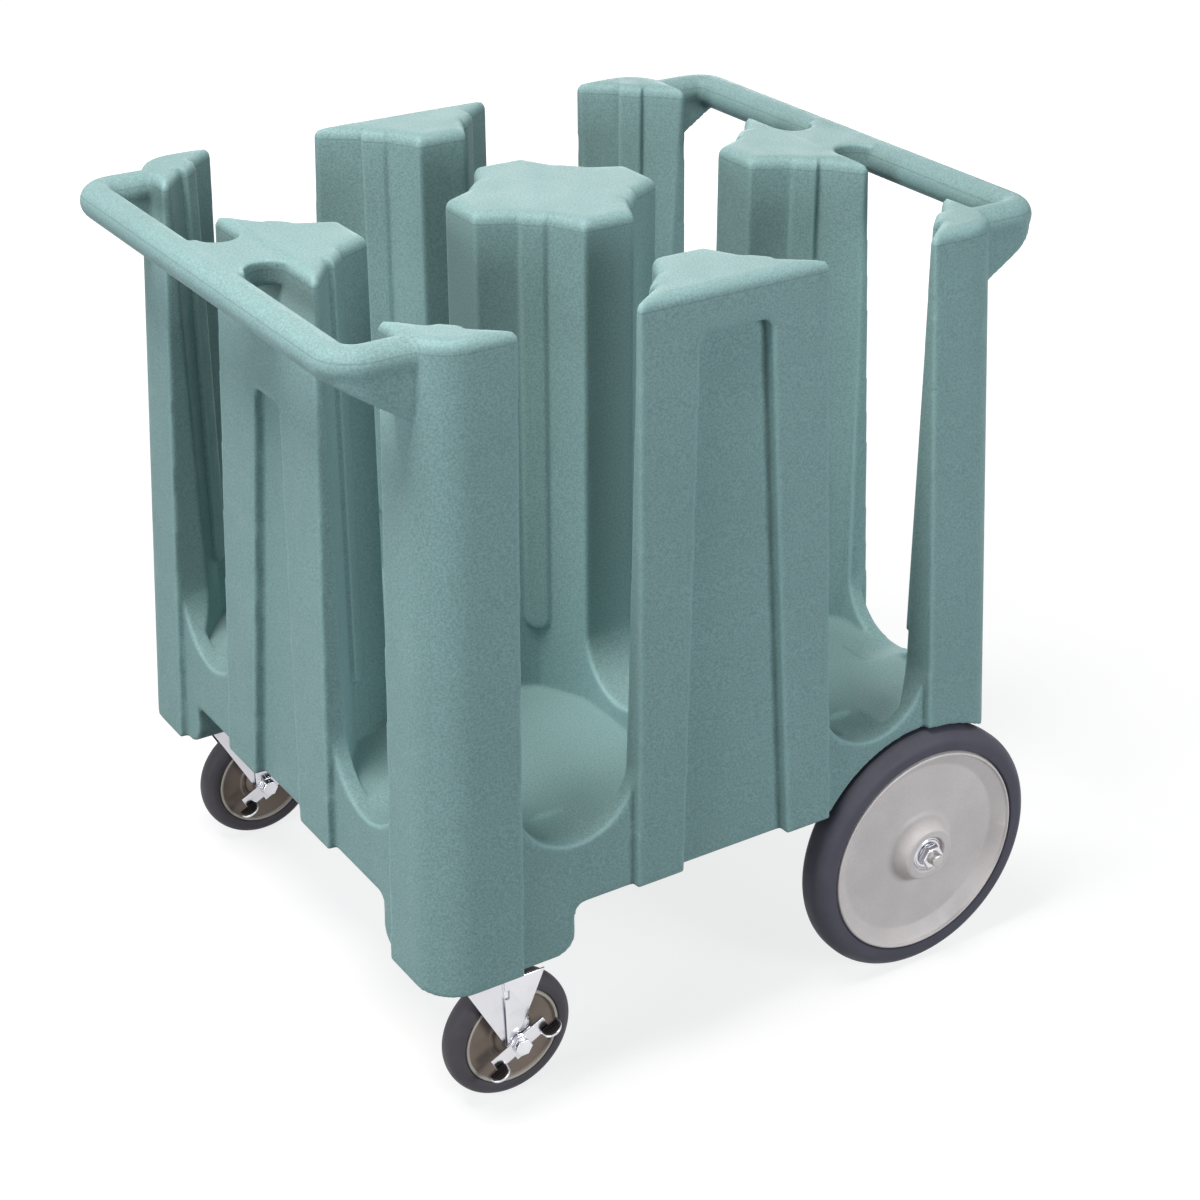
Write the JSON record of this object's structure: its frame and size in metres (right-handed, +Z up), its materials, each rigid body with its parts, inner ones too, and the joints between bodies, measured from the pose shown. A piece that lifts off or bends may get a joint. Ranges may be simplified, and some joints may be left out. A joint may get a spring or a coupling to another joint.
{
  "type": "plate dispenser cart",
  "caption": "Square moulded plastic cart on wheels with open wells between upright posts for stacks of plates, a push bar at each end and braked swivel casters.",
  "frame": {"origin": "on the floor under the middle of the body", "axes": "+Z up, +X from the casters towards the large wheels, +Y to the left when looking along +X"},
  "size_m": [0.702, 0.6568, 0.734],
  "materials": {
    "body_plastic": "fine pebbled matte",
    "tyre_rubber": "smooth, satin",
    "rear_rim_plastic": "fine pebbled matte",
    "caster_rim_plastic": "satin",
    "plated_steel": "bright zinc-nickel plating",
    "plain_steel": "turned",
    "bearing_plastic": "smooth",
    "pad_rubber": "ribbed"
  },
  "bodies": {
    "body": {"body_moulding": "body_plastic", "rear_axle": "plain_steel", "axle_bushes": "bearing_plastic", "rear_washers_left": "plain_steel", "rear_nut_left": "plated_steel", "caster_plate_left": "plated_steel", "caster_screws_left": "plated_steel", "caster_kingpin_left": "plain_steel", "caster_balls_left": "plain_steel", "rear_washers_right": "plain_steel", "rear_nut_right": "plated_steel", "caster_plate_right": "plated_steel", "caster_screws_right": "plated_steel", "caster_kingpin_right": "plain_steel", "caster_balls_right": "plain_steel"},
    "rear_wheel_left": {"rear_rim_left": "rear_rim_plastic", "rear_tyre_left": "tyre_rubber", "rear_bearing_left": "bearing_plastic"},
    "caster_swivel_left": {"caster_fork_left": "plated_steel", "caster_axle_left": "plated_steel", "caster_nut_left": "plated_steel", "caster_spacer_left": "plain_steel", "brake_plate_left": "plated_steel"},
    "caster_wheel_left": {"caster_rim_left": "caster_rim_plastic", "caster_tyre_left": "tyre_rubber", "caster_bearing_left": "bearing_plastic"},
    "brake_left": {"brake_lever_left": "plated_steel", "brake_pads_left": "pad_rubber"},
    "rear_wheel_right": {"rear_rim_right": "rear_rim_plastic", "rear_tyre_right": "tyre_rubber", "rear_bearing_right": "bearing_plastic"},
    "caster_swivel_right": {"caster_fork_right": "plated_steel", "caster_axle_right": "plated_steel", "caster_nut_right": "plated_steel", "caster_spacer_right": "plain_steel", "brake_plate_right": "plated_steel"},
    "caster_wheel_right": {"caster_rim_right": "caster_rim_plastic", "caster_tyre_right": "tyre_rubber", "caster_bearing_right": "bearing_plastic"},
    "brake_right": {"brake_lever_right": "plated_steel", "brake_pads_right": "pad_rubber"}
  },
  "joints": [
    {"name": "rear_wheel_spin_left", "type": "hinge", "parent": "body", "child": "rear_wheel_left", "pos_m": [0.22, 0.291, 0.127], "axis": [0, 1, 0], "continuous": true},
    {"name": "caster_swivel_turn_left", "type": "hinge", "parent": "body", "child": "caster_swivel_left", "pos_m": [-0.246, 0.256, 0.1485], "axis": [0, 0, 1], "continuous": true},
    {"name": "caster_wheel_spin_left", "type": "hinge", "parent": "caster_swivel_left", "child": "caster_wheel_left", "pos_m": [-0.213, 0.256, 0.0635], "axis": [0, 1, 0], "continuous": true},
    {"name": "brake_rock_left", "type": "hinge", "parent": "caster_swivel_left", "child": "brake_left", "pos_m": [-0.213, 0.2315, 0.0635], "axis": [0, -1, 0], "range_deg": [-34, 0]},
    {"name": "rear_wheel_spin_right", "type": "hinge", "parent": "body", "child": "rear_wheel_right", "pos_m": [0.22, -0.291, 0.127], "axis": [0, 1, 0], "continuous": true},
    {"name": "caster_swivel_turn_right", "type": "hinge", "parent": "body", "child": "caster_swivel_right", "pos_m": [-0.246, -0.256, 0.1485], "axis": [0, 0, 1], "continuous": true},
    {"name": "caster_wheel_spin_right", "type": "hinge", "parent": "caster_swivel_right", "child": "caster_wheel_right", "pos_m": [-0.213, -0.256, 0.0635], "axis": [0, 1, 0], "continuous": true},
    {"name": "brake_rock_right", "type": "hinge", "parent": "caster_swivel_right", "child": "brake_right", "pos_m": [-0.213, -0.2805, 0.0635], "axis": [0, -1, 0], "range_deg": [-34, 0]}
  ]
}
